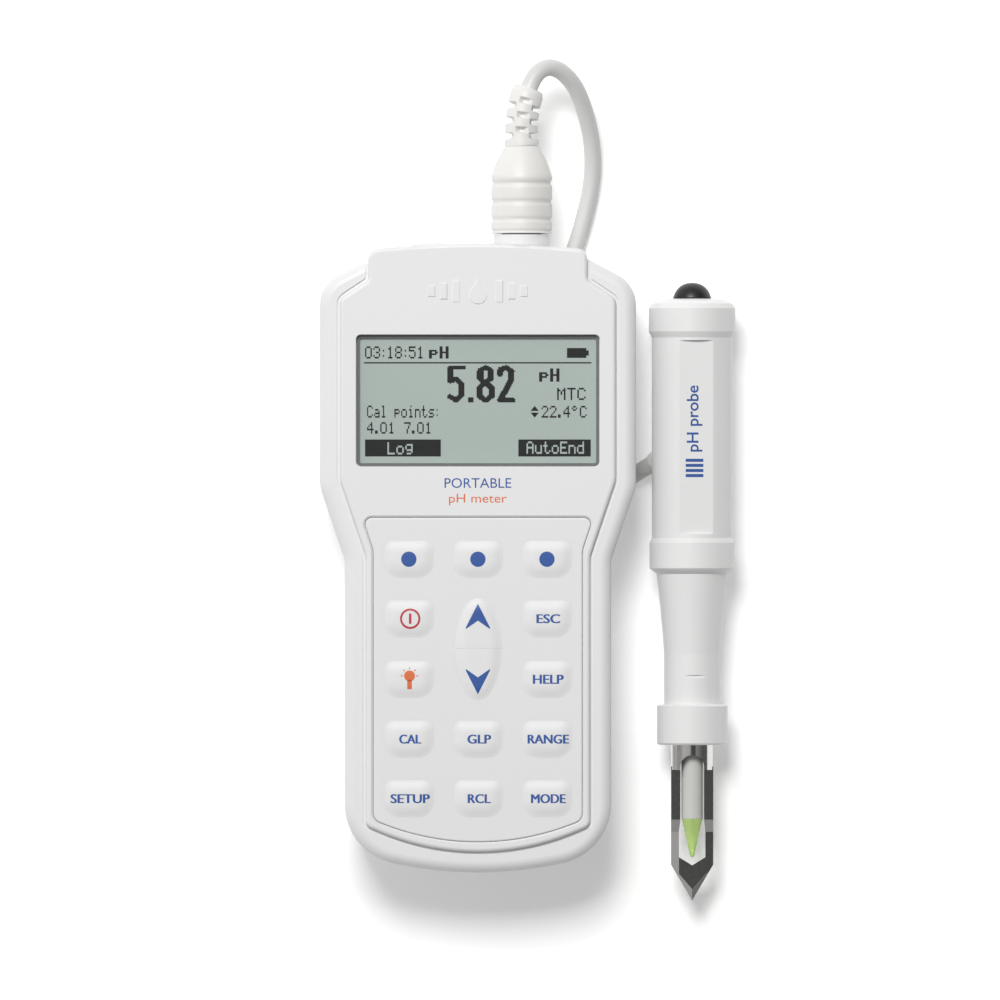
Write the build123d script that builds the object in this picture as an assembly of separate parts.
"""Handheld pH meter with a blade probe on a cable.

Millimetres, +Z up. The meter lies on its back with its display up and its connectors towards +Y.
The origin is the middle of the meter's back rest face. The probe lies beside the meter at +X.
"""

import os
from math import cos, pi, radians, sin, sqrt, tan

from build123d import *

# Meter, heights above the surface that it lies on
PLATE_TOP = 35.2
RIM_TOP = 33.9
SKIN_TOP = 35.0
SKIN_THICKNESS = 1.4
CEILING = 32.6
PARTING = 23.5
HEAD_BACK = 12.5
BOARD_LOW = 27.4
BOARD_TOP = 29.0

# Meter, plan
HEAD_HALF = 46.5
HANDLE_HALF = 39.2
PLATE_HEAD_HALF = 40.6
PLATE_HANDLE_HALF = 33.0
CROWN_HALF = 32.2
CROWN_END = 92.5
METER_END = -92.5
HUMP_HALF = 36.7
HUMP_END = 4.5
HUMP_FOOT = -90.0
END_SLOPE = 12.5
WALL = 2.4
FLOOR = 2.2
SEAM_STEP = 0.25
GROOVE_WIDTH = 0.9
GROOVE_DEPTH = 0.6
PLATE_ROUND = 1.1
SKIN_GAP = 0.15
SKIN_ROUND = 0.5

# Display
WINDOW = (71.8, 39.0)
WINDOW_Y = 46.4
WINDOW_CORNER = 1.5
WINDOW_THICKNESS = 1.5
WINDOW_LEDGE = 1.0
PANEL_SIZE = (75.0, 42.5)

# Keys
KEY = (13.4, 9.7)
KEY_COLUMN = 20.3
KEY_ROWS = (-0.2, -17.7, -35.5, -53.1, -70.6)
KEY_TOP = 36.4
KEY_FOOT = 32.4
KEY_GAP = 0.35
KEY_TRAVEL = 0.8
PLUNGER = 4.4
ARROW_MIDDLE = -26.6
ARROW_HALF = (6.5, 15.3)
ARROW_GAP = 0.7
ARROW_CORNER = 1.3

# Batteries and screws
CELL = (14.2, 50.5)
CELL_PITCH = 14.5
CELL_AXIS = 10.0
BAY_HALF = 29.3
BAY_LOW = -77.5
BAY_HIGH = -18.5
BAY_CEILING = 17.6
COVER_HALF = 33.8
COVER_LOW = -79.8
COVER_HIGH = -15.7
COVER_Z = (0.3, 2.3)
COVER_SEAL = 0.6
CASE_SCREW_SEAT = 16.5
CASE_SCREWS = [(38.5, 76.0), (31.5, -8.5), (14.0, -84.2)]
COVER_SCREWS = [(31.7, -24.0), (31.7, -71.0)]

# Connector on the meter's upper end, its axis along Y
PLUG_X = 12.9
PLUG_Z = PARTING
SOCKET_OUTER = 14.6
SOCKET_BORE = 12.0
FLANGE = 16.3
FLANGE_Y = (91.0, 95.4)
CORE = 9.2
PIN = 1.0
PIN_CIRCLE = 6.0
BARREL = 18.0
BARREL_Y = (95.7, 113.3)
BARREL_RINGS = (99.7, 105.0, 110.4)
BARREL_TIP = (121.7, 9.0)
RELIEF_CORE = 7.2
RELIEF_RIB = 10.2

# Data port on the same end
PORT_X = -13.0
PORT_Z = 26.05
PORT = (7.6, 5.4, 2.7)
PORT_FACE = 90.6
FLAP = (12.4, 4.4)
FLAP_Y = (90.75, 92.6)

# Probe, its axis along Y
PROBE_X = 63.2
PROBE_Z = 12.85
COLLAR = 25.2
CAP = 25.6
BODY = 23.8
BODY_BORE = 18.6
BODY_Y = (6.0, 65.1)
CAP_Y = (65.1, 76.6)
FACET = 10.0
FACET_TURN = 6.0
END_PLUG = 11.4
NOSE_END = -43.1
NOSE = 16.6
SPIGOT = 14.9
SPIGOT_END = -49.8
NUT = 20.9
NUT_Y = (-55.0, -43.1)
NUT_LIP = 1.6
HUB = 15.0
HUB_NECK = 13.2
STEM = 6.3
STEM_END = -76.8
GLASS = 6.1
GLASS_TIP = -88.2
BLADE_WIDTH = 12.45
BLADE_SHOULDER = -90.4
BLADE_TIP = -101.0
BLADE_SLEEVE_END = -62.4
BLADE_RAMP = (-77.1, -80.7)
BLADE_HALF_THICK = (1.6, 0.9)
BLADE_BORE = 7.2
BLADE_FLAT_TIP = -97.6
BLADE_EDGE = 0.12
GRIND_SLOPE = 0.13
SLOT = 7.0
SLOT_WIDE = 7.8
SLOT_TOP = -58.0
SLOT_FOOT = -88.2

# Cable: its free routes by hand, and the coil that takes the rest of its length
CABLE = 5.0
COIL_CENTRE = (0.0, 42.4)
COIL_TURNS = 4.5
COIL_OUTER = 33.1
COIL_INNER = 21.9
TIE_WIDTH = 6.0
TIE_THICK = 0.6
FRONT_ROUTE = [
    (14.9, 138.0, 22.6),
    (16.7, 143.2, 21.7),
    (22.2, 145.4, 19.0),
    (28.2, 140.6, 14.8),
    (31.6, 132.4, 9.6),
    (33.9, 122.6, 4.9),
    (33.9, 111.6, 2.6),
    (31.4, 100.2, 2.5),
    (27.9, 89.0, 2.5),
    (23.3, 81.6, 2.5),
    (15.5, 76.9, 2.5),
    (5.0, 75.6, 2.5),
]
BACK_ROUTE = [
    (8.0, 9.6, 7.5),
    (20.0, 11.3, 7.3),
    (31.0, 15.3, 4.6),
    (39.5, 20.2, 2.6),
    (47.2, 25.3, 3.2),
    (51.9, 28.2, 6.2),
    (56.4, 31.0, 9.6),
]


def end_arc(half_width, end, radius, slope):
    """Corner and middle of a bowed end: the corner's y and the y where its two sloping runs meet."""
    side = 1 if end > 0 else -1
    middle = end + side * radius * (1 / cos(radians(slope)) - 1)
    return middle - side * half_width * tan(radians(slope)), middle


def outline(*corners):
    """Symmetric face from its right-hand corners (x, y, radius), listed from +Y to -Y."""
    left = [(-x, y, r) for x, y, r in reversed(corners) if x > 0]
    loop = [*corners, *left]
    wire = FilletPolyline(*[(x, y) for x, y, _ in loop], radius=[r for _, _, r in loop], close=True)
    return make_face(wire.edges())


def slab(face, low, high):
    """Plate of a plan face between two heights."""
    return extrude(Pos(0, 0, low) * face, amount=high - low, dir=(0, 0, 1))


def grown(face, margin):
    """Plan face with its edge moved outwards by a margin."""
    return offset(face, amount=margin, kind=Kind.ARC)


def block(x, y, z):
    """Box between three pairs of limits."""
    size = (x[1] - x[0], y[1] - y[0], z[1] - z[0])
    return Pos(sum(x) / 2, sum(y) / 2, sum(z) / 2) * Box(*size)


def upright(x, y, low, high, diameter):
    """Cylinder along Z."""
    return Pos(x, y, (low + high) / 2) * Cylinder(diameter / 2, high - low)


def turned(x, z, *profile):
    """Solid turned about an axis along Y from its profile of (radius, y)."""
    face = make_face(Polyline(*profile, close=True).edges())
    return Pos(x, 0, z) * revolve(face, Axis.Y)


def sleeve(x, z, outer, inner, y):
    """Tube along Y, or a rod where the inner diameter is zero."""
    profile = [(inner / 2, y[0]), (outer / 2, y[0]), (outer / 2, y[1]), (inner / 2, y[1])]
    return turned(x, z, *profile)


def both_sides(places):
    """Places at +X and their mirror images."""
    return [(side * x, y) for x, y in places for side in (1, -1)]


def group(solids):
    """Several separate solids kept as one sub-part."""
    return Compound(children=list(solids))


def top_edges(solid):
    return solid.edges().group_by(Axis.Z)[-1]


def low_edges(solid):
    return solid.edges().group_by(Axis.Z)[0]


METER_CORNER, METER_MIDDLE = end_arc(HANDLE_HALF, METER_END, 115.0, END_SLOPE)
RIM_OUTLINE = outline(
    (27.3, 90.8, 10.0),
    (HEAD_HALF, 80.6, 10.0),
    (HEAD_HALF, 21.0, 10.0),
    (HANDLE_HALF, -0.5, 10.0),
    (HANDLE_HALF, METER_CORNER, 18.0),
    (0.0, METER_MIDDLE, 115.0),
)
CROWN_CORNER, CROWN_MIDDLE = end_arc(CROWN_HALF, CROWN_END, 320.0, 5.4)
PLATE_CORNER, PLATE_MIDDLE = end_arc(PLATE_HANDLE_HALF, -86.3, 74.0, 24.0)
PLATE_OUTLINE = outline(
    (0.0, CROWN_MIDDLE, 300.0),
    (CROWN_HALF, CROWN_CORNER, 3.0),
    (CROWN_HALF, 82.0, 2.0),
    (PLATE_HEAD_HALF, 76.4, 3.0),
    (PLATE_HEAD_HALF, 23.1, 8.0),
    (PLATE_HANDLE_HALF, 0.7, 8.0),
    (PLATE_HANDLE_HALF, PLATE_CORNER, 2.5),
    (0.0, PLATE_MIDDLE, 74.0),
)
CROWN_OUTLINE = outline(
    (0.0, CROWN_MIDDLE, 300.0),
    (CROWN_HALF, CROWN_CORNER, 3.0),
    (CROWN_HALF, 76.0, 1.0),
)
SKIN_CORNER, SKIN_MIDDLE = end_arc(30.7, -83.3, 76.0, 21.7)
SKIN_OUTLINE = outline(
    (33.9, 12.0, 2.0),
    (30.7, 2.5, 8.0),
    (30.7, SKIN_CORNER, 3.0),
    (0.0, SKIN_MIDDLE, 76.0),
)
HUMP_CORNER, HUMP_MIDDLE = end_arc(HUMP_HALF, HUMP_FOOT, 112.0, END_SLOPE)
HUMP_OUTLINE = outline(
    (HUMP_HALF, HUMP_END, 7.0),
    (HUMP_HALF, HUMP_CORNER, 15.5),
    (0.0, HUMP_MIDDLE, 112.0),
)
INSIDE_OUTLINE = grown(RIM_OUTLINE, -WALL)


def key_face():
    """Plan of an ordinary key: a flat upper edge and a bowl-shaped lower one."""
    return outline((KEY[0] / 2, KEY[1] / 2, 2.2), (KEY[0] / 2, -KEY[1] / 2, 4.2))


def arrow_face(side):
    """Plan of one arrow key: the upper or the lower half of a tall pointed island."""
    half, reach = ARROW_HALF
    radius = (reach**2 + half**2) / (2 * half)
    lens = Pos(half - radius, 0) * Circle(radius) & Pos(radius - half, 0) * Circle(radius)
    face = lens & Pos(0, side * (reach + ARROW_GAP) / 2) * Rectangle(4 * half, reach)
    return Pos(0, ARROW_MIDDLE) * fillet(face.vertices(), ARROW_CORNER)


def key_faces():
    """Plan face and plunger place of every key, by name."""
    rows = [
        ("key_soft_left", "key_soft_middle", "key_soft_right"),
        ("key_power", None, "key_escape"),
        ("key_light", None, "key_help"),
        ("key_calibrate", "key_report", "key_range"),
        ("key_setup", "key_recall", "key_mode"),
    ]
    faces = {}
    for names, y in zip(rows, KEY_ROWS):
        for name, x in zip(names, (-KEY_COLUMN, 0.0, KEY_COLUMN)):
            if name:
                faces[name] = (Pos(x, y) * key_face(), (x, y))
    faces["key_up"] = (arrow_face(1), (0.0, KEY_ROWS[1] - 1.5))
    faces["key_down"] = (arrow_face(-1), (0.0, KEY_ROWS[2] + 1.5))
    return faces


KEY_FACES = key_faces()


def key(face, place):
    """Key cap with a rounded top and a plunger that reaches for its contact."""
    cap = slab(face, KEY_FOOT, KEY_TOP)
    cap = fillet(top_edges(cap), 1.0)
    gap = KEY_TRAVEL + 0.15
    return cap + upright(*place, BOARD_TOP + gap, KEY_FOOT, PLUNGER)


def key_holes(low, high):
    return [slab(grown(face, KEY_GAP), low, high) for face, _ in KEY_FACES.values()]


def keypad_skin():
    """Silicone sheet round the keys, with a rounded edge."""
    skin = slab(SKIN_OUTLINE, SKIN_TOP - SKIN_THICKNESS, SKIN_TOP)
    skin = fillet(top_edges(skin), SKIN_ROUND)
    for hole in key_holes(SKIN_TOP - SKIN_THICKNESS - 1, PLATE_TOP):
        skin -= hole
    return skin


def connector_cuts():
    """Openings in the meter's upper end for the probe socket and the data port."""
    hole = sleeve(PLUG_X, PLUG_Z, SOCKET_OUTER + 0.2, 0, (80.0, 96.0))
    seat = sleeve(PLUG_X, PLUG_Z, FLANGE + 0.6, 0, (FLANGE_Y[0] - 0.6, 96.0))
    port = block(
        (PORT_X - PORT[0] / 2 - 0.2, PORT_X + PORT[0] / 2 + 0.2),
        (80.0, 96.0),
        (PORT_Z - PORT[2] / 2 - 0.2, BOARD_LOW + 0.05),
    )
    pocket = block(
        (PORT_X - FLAP[0] / 2 - 0.3, PORT_X + FLAP[0] / 2 + 0.3),
        (PORT_FACE, 96.0),
        (PORT_Z - FLAP[1] / 2 - 0.3, PORT_Z + FLAP[1] / 2 + 0.3),
    )
    return hole + seat + port + pocket


def front_case():
    """Front half: a rounded rim around a raised plate, with the window and the keypad's recess."""
    rim = slab(RIM_OUTLINE, PARTING, RIM_TOP)
    rim = fillet(top_edges(rim), 3.2)
    rim -= slab(grown(PLATE_OUTLINE, GROOVE_WIDTH), RIM_TOP - GROOVE_DEPTH, RIM_TOP + 1)
    plate = slab(PLATE_OUTLINE, PARTING, PLATE_TOP)
    plate = fillet(top_edges(plate), PLATE_ROUND)
    shell = rim + plate - slab(INSIDE_OUTLINE, PARTING - 1, CEILING)
    for x, y in both_sides(CASE_SCREWS):
        shell += upright(x, y, PARTING, CEILING, 7.0)
        shell -= upright(x, y, PARTING - 1, CEILING - 1.4, 2.7)
    window = Pos(0, WINDOW_Y) * RectangleRounded(*WINDOW, WINDOW_CORNER)
    shell -= slab(window, CEILING + 0.8, PLATE_TOP + 1)
    shell -= slab(grown(window, -WINDOW_LEDGE), CEILING - 1, PLATE_TOP)
    recess = grown(SKIN_OUTLINE, SKIN_GAP)
    shell -= slab(recess, SKIN_TOP - SKIN_THICKNESS, PLATE_TOP + 1)
    shell -= extrude(Pos(0, 0, PLATE_TOP - SKIN_ROUND) * recess, amount=SKIN_ROUND + 0.1, taper=-45)
    for hole in key_holes(CEILING - 1, PLATE_TOP):
        shell -= hole
    return shell - connector_cuts()


def rear_case():
    """Rear half: a shallow head and a hump over the batteries that the meter lies on."""
    back = slab(grown(RIM_OUTLINE, -SEAM_STEP), HEAD_BACK, PARTING)
    back = fillet(low_edges(back), 4.0)
    crown = slab(grown(CROWN_OUTLINE, -SEAM_STEP), HEAD_BACK, PARTING)
    crown = fillet(low_edges(crown), 2.5)
    hump = slab(HUMP_OUTLINE, 0, HEAD_BACK + 5)
    hump = fillet(low_edges(hump), 1.6)
    shell = back + crown + hump
    bay_top = BAY_CEILING + FLOOR - 0.2
    shell -= slab(INSIDE_OUTLINE, bay_top, PARTING + 1)
    head = INSIDE_OUTLINE & Pos(0, 43.5) * Rectangle(2 * HEAD_HALF, 113.0)
    shell -= slab(head, HEAD_BACK + FLOOR, PARTING)
    shell -= block((-32.5, 32.5), (-13.0, HUMP_END - WALL), (FLOOR, PARTING))
    shell -= block((-BAY_HALF, BAY_HALF), (BAY_LOW, BAY_HIGH), (-1, BAY_CEILING))
    shell -= slab(grown(cover_face(), 0.2), -1, COVER_Z[1] + COVER_SEAL)
    for x, y in both_sides(CASE_SCREWS):
        boss_low = COVER_Z[1] + COVER_SEAL if y < 0 else HEAD_BACK + 1
        shell += upright(x, y, boss_low, PARTING, 8.2)
        shell -= upright(x, y, -1, CASE_SCREW_SEAT, 5.8)
        shell -= upright(x, y, -1, PARTING + 1, 3.2)
    for x, y in both_sides(COVER_SCREWS):
        shell -= upright(x, y, 0, 9.4, 2.6)
    return shell - seal_ring() - connector_cuts()


def seal_ring():
    """Soft ring between the two case halves, in a groove of the rear one."""
    ring = grown(RIM_OUTLINE, -1.0) - grown(RIM_OUTLINE, -1.8)
    return slab(ring, PARTING - 0.8, PARTING) - connector_cuts()


def cover_face():
    width = 2 * COVER_HALF
    height = COVER_HIGH - COVER_LOW
    return Pos(0, (COVER_HIGH + COVER_LOW) / 2) * RectangleRounded(width, height, 4.0)


def battery_cover():
    """Plate over the battery bay, flush with the back, with a finger rib across its lower end."""
    cover = slab(cover_face(), *COVER_Z)
    for step in range(5):
        y = COVER_LOW + 8 + 3 * step
        cover -= block((-12, 12), (y, y + 1.2), (0, COVER_Z[0] + 0.5))
    for x, y in both_sides(COVER_SCREWS):
        cover -= upright(x, y, 0, COVER_Z[0] + 1.3, 4.8)
        cover -= upright(x, y, 0, 3, 2.8)
    return cover


def battery_cover_seal():
    height = BAY_HIGH - BAY_LOW
    bay = Pos(0, (BAY_HIGH + BAY_LOW) / 2) * Rectangle(2 * BAY_HALF, height)
    ring = grown(bay, 1.0) - grown(bay, 0.2)
    return slab(ring, COVER_Z[1], COVER_Z[1] + COVER_SEAL)


def screw(x, y, seat, length, shank, head, head_height):
    """Self-tapping screw with its head down."""
    body = upright(x, y, seat - head_height, seat, head)
    body -= block((x - head / 2, x + head / 2), (y - 0.3, y + 0.3), (0, seat - head_height + 0.6))
    return body + upright(x, y, seat, seat + length, shank)


def cell(x, sign):
    """One round cell along Y with its raised terminal at one end."""
    middle = (BAY_HIGH + BAY_LOW) / 2
    diameter, length = CELL
    can = sleeve(x, CELL_AXIS, diameter, 0, (middle - length / 2, middle + length / 2))
    end = middle + sign * length / 2
    nib = sorted((end, end + sign))
    return can + sleeve(x, CELL_AXIS, 5.5, 0, nib)


def cell_contact(x, end, pressed):
    """Contact plate at one end of a cell, with a spring cone or a plain boss."""
    wall = BAY_HIGH if end > 0 else BAY_LOW
    face = (BAY_HIGH + BAY_LOW) / 2 + end * CELL[1] / 2
    plate_face = wall - end * 0.4
    plate = block((x - 6, x + 6), sorted((wall, plate_face)), (CELL_AXIS - 6, CELL_AXIS + 6))
    root, tip = (4.5, 2.5) if pressed else (2.5, 2.5)
    reach = face if pressed else face + end
    cone = turned(x, CELL_AXIS, (0, plate_face), (root, plate_face), (tip, reach), (0, reach))
    return plate + cone


def batteries():
    """Cells and their contacts; neighbours point opposite ways."""
    cells, contacts = [], []
    for place in range(4):
        x = (place - 1.5) * CELL_PITCH
        sign = 1 if place % 2 else -1
        cells.append(cell(x, sign))
        contacts += [cell_contact(x, sign, False), cell_contact(x, -sign, True)]
    return group(cells), group(contacts)


def display():
    """Clear window, display glass and the frame that holds it to the board."""
    window = Pos(0, WINDOW_Y) * RectangleRounded(WINDOW[0] - 0.3, WINDOW[1] - 0.3, WINDOW_CORNER)
    pane = slab(window, CEILING + 0.8, CEILING + 0.8 + WINDOW_THICKNESS)
    glass = Pos(0, WINDOW_Y) * Rectangle(*PANEL_SIZE)
    panel = slab(glass, CEILING - 2.0, CEILING)
    holder = slab(grown(glass, 1.2), BOARD_TOP, CEILING - 0.1)
    return pane, panel, holder - slab(glass, CEILING - 2.0, CEILING)


def main_board():
    """Circuit board the shape of the case, cut away round the socket and the screw bosses."""
    board = slab(grown(RIM_OUTLINE, -WALL - 1.2), BOARD_LOW, BOARD_TOP)
    board -= block((PLUG_X - 10, PLUG_X + 10), (72, 90), (BOARD_LOW, BOARD_TOP))
    for x, y in both_sides(CASE_SCREWS):
        board -= upright(x, y, BOARD_LOW, BOARD_TOP, 8.0)
    return board


def board_parts():
    """Chips on the underside of the board: processor, converter, memory, clock and regulator."""
    chips = [
        (-12, 34, 12, 12),
        (10, 44, 9, 9),
        (-16, 58, 6, 8),
        (22, 30, 8, 5),
        (-2, -6, 7, 5),
        (28, 52, 5, 7),
    ]
    return group(
        block((x - w / 2, x + w / 2), (y - d / 2, y + d / 2), (BOARD_LOW - 1.6, BOARD_LOW))
        for x, y, w, d in chips
    )


def usb_port():
    """Metal shell of the data port with its tongue."""
    x = (PORT_X - PORT[0] / 2, PORT_X + PORT[0] / 2)
    y = (PORT_FACE - PORT[1], PORT_FACE)
    z = (PORT_Z - PORT[2] / 2, PORT_Z + PORT[2] / 2)
    shell = block(x, y, z)
    shell -= block((x[0] + 0.4, x[1] - 0.4), (y[0] + 1, y[1] + 1), (z[0] + 0.4, z[1] - 0.4))
    return shell + block((x[0] + 1.6, x[1] - 1.6), (y[0] + 0.5, y[1] - 1), (z[0] + 1, z[1] - 1.1))


def usb_cover():
    """Rubber flap over the data port, with a round hinge edge and a fingernail lip."""
    x = (PORT_X - FLAP[0] / 2, PORT_X + FLAP[0] / 2)
    z = (PORT_Z - FLAP[1] / 2, PORT_Z + FLAP[1] / 2)
    roll = (FLAP_Y[1] - FLAP_Y[0]) / 2
    flap = block(x, FLAP_Y, (z[0] + roll, z[1]))
    flap = fillet(flap.edges().filter_by(Axis.Y).group_by(Axis.Z)[-1], 1.2)
    hinge = Pos(PORT_X, FLAP_Y[0] + roll, z[0] + roll) * Rot(0, 90, 0) * Cylinder(roll, FLAP[0])
    lip = block((PORT_X - 2, PORT_X + 2), (FLAP_Y[1] - 0.5, FLAP_Y[1] + 0.6), (z[1] - 1, z[1]))
    return flap + hinge + lip


def pin_places():
    """Contacts of the round connector: six on a circle and one in the middle."""
    ring = [(PIN_CIRCLE / 2 * cos(pi * n / 3), PIN_CIRCLE / 2 * sin(pi * n / 3)) for n in range(6)]
    return [(PLUG_X + dx, PLUG_Z + dz) for dx, dz in [(0, 0), *ring]]


def probe_socket():
    """Flanged barrel of the socket, held by a nut inside the case, and its contact core."""
    r, bore, flange = SOCKET_OUTER / 2, SOCKET_BORE / 2, FLANGE / 2
    low, high = FLANGE_Y
    barrel = turned(
        PLUG_X, PLUG_Z,
        (CORE / 2, 74), (r, 74), (r, low), (flange, low), (flange, high), (bore, high),
        (bore, 82), (CORE / 2, 82),
    )
    core = sleeve(PLUG_X, PLUG_Z, CORE, 0, (72, high - 0.9))
    for x, z in pin_places():
        core -= sleeve(x, z, PIN + 0.3, 0, (84.5, high))
    nut = sleeve(PLUG_X, PLUG_Z, 17.4, SOCKET_OUTER, (84.8, 88.3))
    seal = sleeve(PLUG_X, PLUG_Z, FLANGE, SOCKET_OUTER, (low - 0.6, low))
    return barrel, core, nut, seal


def plug():
    """Plug: ringed outer shell, insulating insert with its nose, and seven pins."""
    low, high = BARREL_Y
    outer = [(BARREL / 2 - 0.5, low), (BARREL / 2, low + 0.5), (BARREL / 2, high - 1.5)]
    tip = [(BARREL / 2 - 0.4, high), (BARREL_TIP[1] / 2 + 0.9, BARREL_TIP[0] - 1.6)]
    end = [(BARREL_TIP[1] / 2, BARREL_TIP[0]), (0, BARREL_TIP[0]), (0, high - 1.5)]
    bore = [(6.5, high - 1.5), (6.5, low)]
    shell = turned(PLUG_X, PLUG_Z, *outer, *tip, *end, *bore)
    for y in BARREL_RINGS:
        shell -= sleeve(PLUG_X, PLUG_Z, BARREL + 1, BARREL - 0.9, (y - 0.35, y + 0.35))
    pins = group(sleeve(x, z, PIN, 0, (86, 100)) for x, z in pin_places())
    insert = sleeve(PLUG_X, PLUG_Z, 13.0, 0, (low, high - 1.5))
    insert += sleeve(PLUG_X, PLUG_Z, 11.6, 9.6, (83, low))
    insert += sleeve(PLUG_X, PLUG_Z, 11.6, 0, (FLANGE_Y[1] - 0.4, low))
    return shell, insert - pins, pins


def strain_relief():
    """Ribbed sleeve that leans with the cable, from the plug's tip to where the cable leaves it."""
    start = Vector(PLUG_X, BARREL_TIP[0], PLUG_Z)
    path = TangentArc(start, Vector(*FRONT_ROUTE[0]), tangent=(0, 1, 0))
    core = sweep(Plane(origin=path @ 0, z_dir=path % 0) * Circle(RELIEF_CORE / 2), path=path)
    for rib in range(4):
        spot = (rib + 0.5) / 4
        disc = Plane(origin=path @ spot, z_dir=path % spot) * Cylinder(RELIEF_RIB / 2, 2.2)
        core += disc
    return core


def cable_tube(name, route):
    """Tube along straight runs joined by the largest arcs that the runs allow."""
    points = [Vector(*point) for point in route]
    radii = []
    for before, corner, after in zip(points, points[1:], points[2:]):
        turn = (corner - before).get_angle(after - corner)
        shorter = min((corner - before).length, (after - corner).length)
        radii.append(0.45 * shorter / tan(radians(turn) / 2))
    path = FilletPolyline(*route, radius=radii)
    tube = sweep(Plane(origin=path @ 0, z_dir=path % 0) * Circle(CABLE / 2), path=path)
    expected = pi * CABLE**2 / 4 * path.length
    print(name, "radii", [round(r, 1) for r in radii], "length", round(path.length, 1))
    print(name, "volume over section times length", round(tube.volume / expected, 4))
    return tube, path.length


def coil_and_tie():
    """Outer shape of the two-layer coil, and the strap that holds its turns together."""
    x, y = COIL_CENTRE
    outer, inner, height = COIL_OUTER + CABLE / 2, COIL_INNER - CABLE / 2, 2 * CABLE
    ring = slab(Pos(x, y) * (Circle(outer) - Circle(inner)), 0, height)
    span = (-x - outer - TIE_THICK, -x - inner + TIE_THICK)
    tie = block(span, (y - TIE_WIDTH / 2, y + TIE_WIDTH / 2), (0, height + TIE_THICK))
    hollow = (span[0] + TIE_THICK, span[1] - TIE_THICK)
    tie -= block(hollow, (y - TIE_WIDTH, y + TIE_WIDTH), (TIE_THICK, height))
    return ring - tie, tie


def coil_length():
    """Length of cable in the coil: each layer runs evenly between the inner and outer radius."""
    return COIL_TURNS * pi * (COIL_OUTER + COIL_INNER)


def probe_gland(cable):
    """Short tapered sleeve where the cable enters the probe's underside."""
    start, end = Vector(*BACK_ROUTE[-2]), Vector(*BACK_ROUTE[-1])
    along = (end - start).normalized()
    cone = Plane(origin=start + along * 2.8, z_dir=along) * Cone(2.9, 3.5, 5.6)
    return cone - cable


def probe_body(gland):
    """Hollow grip with one flat facet, turned a little to the right, and a hole for the cable."""
    radius = BODY / 2
    grip = sleeve(PROBE_X, PROBE_Z, BODY, BODY_BORE, BODY_Y)
    drop = sqrt(radius**2 - FACET**2 / 4)
    waste = block((-radius, radius), (BODY_Y[0] + 1.2, BODY_Y[1] - 0.8), (drop, radius + 1))
    grip -= Pos(PROBE_X, 0, PROBE_Z) * Rot(0, FACET_TURN, 0) * waste
    return grip - gland


def probe_top():
    """Cap on the probe's upper end and the rubber plug in its middle."""
    low, high = CAP_Y
    r = CAP / 2
    cap = turned(
        PROBE_X, PROBE_Z,
        (BODY_BORE / 2, low - 6), (BODY_BORE / 2, low), (BODY / 2, low), (r, low + 1.8),
        (r, high - 2.9), (r - 0.9, high - 1.5), (r - 3.4, high - 0.4), (r - 6.2, high),
        (4.1, high), (4.1, 73), (7.6, 73), (7.6, low - 6),
    )
    r = END_PLUG / 2
    dome = [(r, high), (r - 0.5, high + 1.5), (r - 1.8, high + 3.4), (r - 3.6, high + 4.4), (0, high + 4.7)]
    end_plug = turned(PROBE_X, PROBE_Z, (0, 71), (4.1, 71), (4.1, high), *dome)
    return cap, end_plug


def probe_nose():
    """Collar, long taper and threaded spigot below the grip, with a small slot on top."""
    r = COLLAR / 2
    bore = 4.2
    nose = turned(
        PROBE_X, PROBE_Z,
        (bore, SPIGOT_END), (SPIGOT / 2, SPIGOT_END), (SPIGOT / 2, NOSE_END), (NOSE / 2, NOSE_END),
        (NOSE / 2, -28.2), (8.8, -21.6), (9.6, -12.6), (10.5, -4.6), (r - 0.7, -3.6), (r, -2.9),
        (r, 4.6), (BODY / 2, BODY_Y[0]), (BODY_BORE / 2, BODY_Y[0]), (BODY_BORE / 2, 12.0),
        (7.6, 12.0), (7.6, -8.0), (bore, -20.0),
    )
    mark = block((-2.9, 2.9), (-35.2, -34.4), (NOSE / 2 - 0.5, NOSE / 2 + 1))
    return nose - Pos(PROBE_X, 0, PROBE_Z) * Rot(0, FACET_TURN, 0) * mark


def probe_seals():
    """Flat rings between the nose and the grip, and between the cap and the grip."""
    rings = [(BODY_Y[0] + 7, 18.4, 15.4), (CAP_Y[0] - 7.2, 18.4, 15.4)]
    return group(sleeve(PROBE_X, PROBE_Z, outer, inner, (y - 0.8, y + 0.8)) for y, outer, inner in rings)


def probe_board():
    """Amplifier board inside the grip."""
    board = block((PROBE_X - 7, PROBE_X + 7), (15, 56), (PROBE_Z + 1.6, PROBE_Z + 3.2))
    chips = block((PROBE_X - 3, PROBE_X + 3), (36, 42), (PROBE_Z + 3.2, PROBE_Z + 4.6))
    return board + chips + block((PROBE_X - 2, PROBE_X + 2), (24, 29), (PROBE_Z + 3.2, PROBE_Z + 5))


def electrode():
    """Grey stem, conical glass tip with its shank, and the wire down the middle."""
    stem = sleeve(PROBE_X, PROBE_Z, STEM, 5.4, (STEM_END, -22.0))
    flange = sleeve(PROBE_X, PROBE_Z, 8.4, STEM, (-48.0, -22.0))
    r = GLASS / 2
    tip = turned(
        PROBE_X, PROBE_Z,
        (0, GLASS_TIP), (0.5, GLASS_TIP + 0.15), (0.8, GLASS_TIP + 0.7), (r, STEM_END),
        (2.65, STEM_END), (2.65, -70.0), (2.1, -70.0), (2.1, STEM_END - 1.0), (0, GLASS_TIP + 2.2),
    )
    wire = sleeve(PROBE_X, PROBE_Z, 0.9, 0, (-81.0, -24.0))
    return stem + flange, tip, wire


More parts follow.
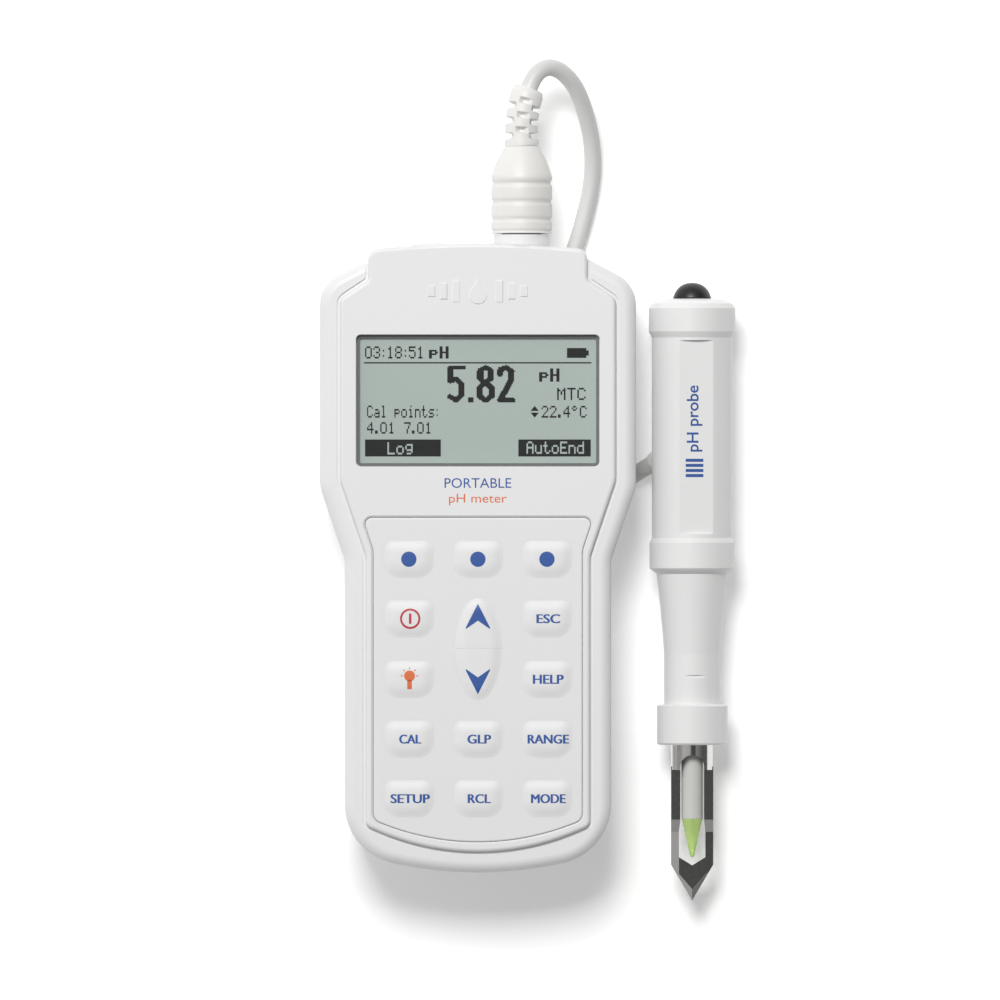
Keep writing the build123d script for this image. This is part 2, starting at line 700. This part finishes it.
def blade_face():
    """Plan of the blade: straight sides to the shoulders, then a point."""
    half = BLADE_WIDTH / 2
    corners = [(-half, -50), (half, -50), (half, BLADE_SHOULDER), (0, BLADE_TIP), (-half, BLADE_SHOULDER)]
    return Pos(PROBE_X, 0) * make_face(Polyline(*corners, close=True).edges())


def slot_face():
    """Window through the blade: an arched top, a wider lower part and a blunt point at its foot."""
    half, wide = SLOT / 2, SLOT_WIDE / 2
    arch = Pos(0, SLOT_TOP - half) * Circle(half)
    right = [(half, SLOT_TOP - half), (half, BLADE_RAMP[0]), (wide, BLADE_RAMP[1]), (wide, SLOT_FOOT)]
    left = [(-x, y) for x, y in reversed(right)]
    opening = make_face(Polyline(*right, (0, SLOT_FOOT - 2.4), *left, close=True).edges())
    return Pos(PROBE_X, 0) * (arch + opening)


def bevel_planes():
    """Planes that grind both faces of both point edges, from nothing at the shoulders."""
    thick = BLADE_HALF_THICK[1]
    shoulder = Vector(BLADE_WIDTH / 2, BLADE_SHOULDER, thick)
    flat_tip = Vector(0, BLADE_FLAT_TIP, thick)
    normal = (flat_tip - shoulder).cross(Vector(0, BLADE_TIP, BLADE_EDGE) - flat_tip)
    planes = []
    for side in (1, -1):
        for face in (1, -1):
            place = (PROBE_X + side * shoulder.X, shoulder.Y, PROBE_Z + face * thick)
            planes.append(Plane(origin=place, z_dir=(side * normal.X, normal.Y, face * normal.Z)))
    return planes


def side_grinds():
    """Wedges that thin both faces of the point towards its two long edges."""
    root, edge = SLOT_WIDE / 2, BLADE_WIDTH / 2 + 1
    thin = BLADE_HALF_THICK[1]
    corners = [(root, thin), (edge, thin - GRIND_SLOPE * (edge - root)), (edge, 3), (root, 3)]
    wedges = []
    for side in (1, -1):
        for face in (1, -1):
            section = make_face(Polyline(*[(side * x, face * z) for x, z in corners], close=True).edges())
            bar = extrude(Plane.XZ * section, amount=BLADE_RAMP[1] - BLADE_TIP + 2, dir=(0, -1, 0))
            wedges.append(Pos(PROBE_X, BLADE_RAMP[1], PROBE_Z) * bar)
    return wedges


def blade():
    """Steel blade: a sleeve round the stem, two thick rails and a thin ground point."""
    thick, thin = BLADE_HALF_THICK
    start, end = BLADE_RAMP
    edge = [(BLADE_SLEEVE_END + 1, thick), (start, thick), (end, thin), (BLADE_TIP - 1, thin)]
    profile = [*edge, *[(y, -z) for y, z in reversed(edge)]]
    side = make_face(Polyline(*[(y, z) for y, z in profile], close=True).edges())
    rails = Pos(PROBE_X - 10, 0, PROBE_Z) * extrude(Plane.YZ * side, amount=20)
    rails = rails & slab(blade_face(), 0, 2 * PROBE_Z)
    for plane in bevel_planes():
        rails = split(rails, bisect_by=plane, keep=Keep.BOTTOM)
    for wedge in side_grinds():
        rails -= wedge
    ring = sleeve(PROBE_X, PROBE_Z, BLADE_WIDTH, 0, (BLADE_SLEEVE_END, -50.0))
    bore = sleeve(PROBE_X, PROBE_Z, BLADE_BORE, 0, (SLOT_TOP - 6, -49.0))
    return rails + ring - bore - slab(slot_face(), 0, 2 * PROBE_Z)


def blade_hub():
    """Flanged white ring that holds the blade's sleeve."""
    flange, neck, bore = HUB / 2, HUB_NECK / 2, BLADE_WIDTH / 2
    return turned(
        PROBE_X, PROBE_Z,
        (bore, NUT_Y[0]), (neck, NUT_Y[0]), (neck, -53.3), (flange, -53.3), (flange, -50.1), (bore, -50.1),
    )


def blade_nut():
    """Union nut that draws the hub onto the nose."""
    low, high = NUT_Y
    r = NUT / 2
    bore = HUB / 2 + 0.25
    return turned(
        PROBE_X, PROBE_Z,
        (HUB_NECK / 2 + 0.2, low), (r - 0.5, low), (r, low + 0.5), (r, high - 0.5), (r - 0.5, high),
        (bore, high), (bore, low + NUT_LIP), (HUB_NECK / 2 + 0.2, low + NUT_LIP),
    )


def build_parts():
    """Every sub-part by name."""
    parts = {
        "front_case": front_case(),
        "rear_case": rear_case(),
        "case_seal": seal_ring(),
        "keypad_skin": keypad_skin(),
        "main_board": main_board(),
        "board_parts": board_parts(),
        "beeper": upright(-26, 74, BOARD_LOW - 5, BOARD_LOW, 12),
        "usb_port": usb_port(),
        "usb_cover": usb_cover(),
        "battery_cover": battery_cover(),
        "battery_cover_seal": battery_cover_seal(),
        "blade": blade(),
        "blade_hub": blade_hub(),
        "blade_nut": blade_nut(),
        "probe_nose": probe_nose(),
        "probe_board": probe_board(),
        "probe_seals": probe_seals(),
        "plug_strain_relief": strain_relief(),
    }
    parts["case_screws"] = group(
        screw(x, y, CASE_SCREW_SEAT, 14, 2.6, 5.2, 2.0) for x, y in both_sides(CASE_SCREWS)
    )
    parts["battery_cover_screws"] = group(
        screw(x, y, COVER_Z[0] + 1.3, 7.4, 2.4, 4.4, 1.2) for x, y in both_sides(COVER_SCREWS)
    )
    parts["key_contacts"] = group(
        upright(*place, BOARD_TOP, BOARD_TOP + 0.15, 5.6) for _, place in KEY_FACES.values()
    )
    for name, (face, place) in KEY_FACES.items():
        parts[name] = key(face, place)
    parts["batteries"], parts["battery_contacts"] = batteries()
    parts["display_window"], parts["lcd_panel"], parts["lcd_frame"] = display()
    socket = probe_socket()
    names = ("probe_socket", "socket_core", "socket_nut", "socket_seal")
    parts.update(zip(names, socket))
    parts["plug_shell"], parts["plug_insert"], parts["plug_pins"] = plug()
    parts["probe_top_cap"], parts["probe_end_plug"] = probe_top()
    parts["electrode_stem"], parts["glass_tip"], parts["inner_wire"] = electrode()
    parts["lead_coil"], parts["coil_tie"] = coil_and_tie()
    parts["lead_cable_front"], front_length = cable_tube("lead_cable_front", FRONT_ROUTE)
    parts["lead_cable_back"], back_length = cable_tube("lead_cable_back", BACK_ROUTE)
    parts["probe_gland"] = probe_gland(parts["lead_cable_back"])
    parts["probe_body"] = probe_body(parts["probe_gland"] + parts["lead_cable_back"])
    print("cable length", round(front_length + coil_length() + back_length, 1))
    return parts


os.makedirs("parts", exist_ok=True)
for part_name, shape in build_parts().items():
    export_step(shape, f"parts/{part_name}.step")
